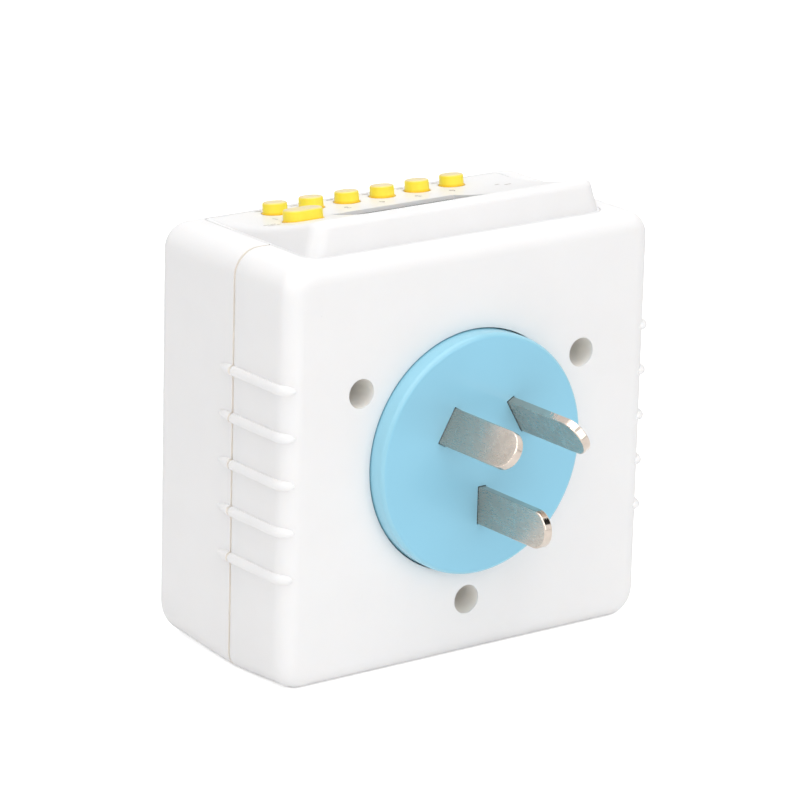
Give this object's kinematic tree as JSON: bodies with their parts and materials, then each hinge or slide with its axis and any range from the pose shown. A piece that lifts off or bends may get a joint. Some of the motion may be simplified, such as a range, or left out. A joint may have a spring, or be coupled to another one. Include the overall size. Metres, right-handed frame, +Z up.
{
  "type": "digital timer plug",
  "caption": "Square plug-in digital timer: white split case, sloping keypad with display on top, round blue plug disc with flat pins behind and a shuttered socket in front.",
  "frame": {"origin": "centre of the pin layout on the outer face of the plug disc", "axes": "+Y out of the plug face towards the wall, +Z up, +X to the right of a person facing the socket"},
  "size_m": [0.075, 0.058, 0.0756],
  "materials": {
    "case_white": "satin moulded, near white",
    "panel_white": "satin moulded, near white",
    "disc_blue": "satin moulded, sky blue",
    "key_yellow": "soft moulded, bright yellow",
    "pin_nickel": "nickel plated brass, lightly brushed",
    "screw_steel": "zinc plated",
    "spring_steel": "drawn wire",
    "lens_clear": "clear moulded window",
    "display_glass": "grey green display glass",
    "holder_black": "black moulded",
    "switch_black": "black moulded",
    "board_green": "printed board",
    "chip_black": "moulded chip",
    "insulator_white": "moulded insulator",
    "shutter_white": "moulded slider",
    "relay_black": "moulded relay cover",
    "relay_iron": "plated iron",
    "coil_copper": "enamelled winding",
    "contact_brass": "stamped sheet",
    "capacitor_yellow": "moulded box",
    "can_sleeve": "shrink sleeve",
    "absorber_blue": "coated disc",
    "battery_sleeve": "shrink sleeve",
    "tag_steel": "plated tag",
    "cable_grey": "flat cable"
  },
  "bodies": {
    "case": {"back_shell": "case_white", "backup_battery": "battery_sleeve", "battery_tags": "tag_steel", "carrier_screws": "screw_steel", "case_screws": "screw_steel", "contact_carrier": "insulator_white", "control_board": "board_green", "control_board_screws": "screw_steel", "control_chip": "chip_black", "control_panel": "panel_white", "earth_contact": "contact_brass", "earth_pin": "pin_nickel", "earth_strap": "contact_brass", "film_capacitor": "capacitor_yellow", "front_shell": "case_white", "key_switches": "switch_black", "lcd_holder": "holder_black", "lcd_lens": "lens_clear", "lcd_module": "display_glass", "live_contact": "contact_brass", "live_pin": "pin_nickel", "live_strap": "contact_brass", "neutral_contact": "contact_brass", "neutral_pin": "pin_nickel", "neutral_strap": "contact_brass", "pin_retainer": "insulator_white", "plug_disc": "disc_blue", "power_board": "board_green", "power_board_screws": "screw_steel", "relay_base": "relay_black", "relay_case": "relay_black", "relay_coil": "coil_copper", "relay_terminal": "contact_brass", "relay_yoke": "relay_iron", "retainer_screws": "screw_steel", "ribbon_cable": "cable_grey", "shutter_spring": "spring_steel", "smoothing_capacitor": "can_sleeve", "socket_face": "disc_blue", "surge_absorber": "absorber_blue"},
    "key_clock_cap": {"key_clock": "key_yellow"},
    "key_program_cap": {"key_program": "key_yellow"},
    "key_day_cap": {"key_day": "key_yellow"},
    "key_hour_cap": {"key_hour": "key_yellow"},
    "key_minute_cap": {"key_minute": "key_yellow"},
    "key_recall_cap": {"key_recall": "key_yellow"},
    "key_mode_cap": {"key_mode": "key_yellow"},
    "shutter": {"socket_shutter": "shutter_white"},
    "armature": {"relay_armature": "relay_iron"}
  },
  "joints": [
    {"name": "key_clock_press", "type": "slide", "parent": "case", "child": "key_clock_cap", "axis": [0, 0.1392, -0.9903], "range_m": [0, 0.0005], "stiffness_N_per_m": 1200, "springref_m": -0.0001},
    {"name": "key_program_press", "type": "slide", "parent": "case", "child": "key_program_cap", "axis": [0, 0.1392, -0.9903], "range_m": [0, 0.0005], "stiffness_N_per_m": 1200, "springref_m": -0.0001},
    {"name": "key_day_press", "type": "slide", "parent": "case", "child": "key_day_cap", "axis": [0, 0.1392, -0.9903], "range_m": [0, 0.0005], "stiffness_N_per_m": 1200, "springref_m": -0.0001},
    {"name": "key_hour_press", "type": "slide", "parent": "case", "child": "key_hour_cap", "axis": [0, 0.1392, -0.9903], "range_m": [0, 0.0005], "stiffness_N_per_m": 1200, "springref_m": -0.0001},
    {"name": "key_minute_press", "type": "slide", "parent": "case", "child": "key_minute_cap", "axis": [0, 0.1392, -0.9903], "range_m": [0, 0.0005], "stiffness_N_per_m": 1200, "springref_m": -0.0001},
    {"name": "key_recall_press", "type": "slide", "parent": "case", "child": "key_recall_cap", "axis": [0, 0.1392, -0.9903], "range_m": [0, 0.0005], "stiffness_N_per_m": 1200, "springref_m": -0.0001},
    {"name": "key_mode_press", "type": "slide", "parent": "case", "child": "key_mode_cap", "axis": [0, 0.1392, -0.9903], "range_m": [0, 0.0005], "stiffness_N_per_m": 1200, "springref_m": -0.0001},
    {"name": "shutter_slide", "type": "slide", "parent": "case", "child": "shutter", "axis": [1, 0, 0], "range_m": [0, 0.0032], "stiffness_N_per_m": 150, "springref_m": -0.001, "deforming": ["shutter_spring"]},
    {"name": "armature_tip", "type": "hinge", "parent": "case", "child": "armature", "pos_m": [-0.0292, -0.02645, -0.02505], "axis": [0, 0, 1], "range_deg": [0, 4], "stiffness_Nm_per_rad": 0.025, "springref_deg": -2.86}
  ]
}
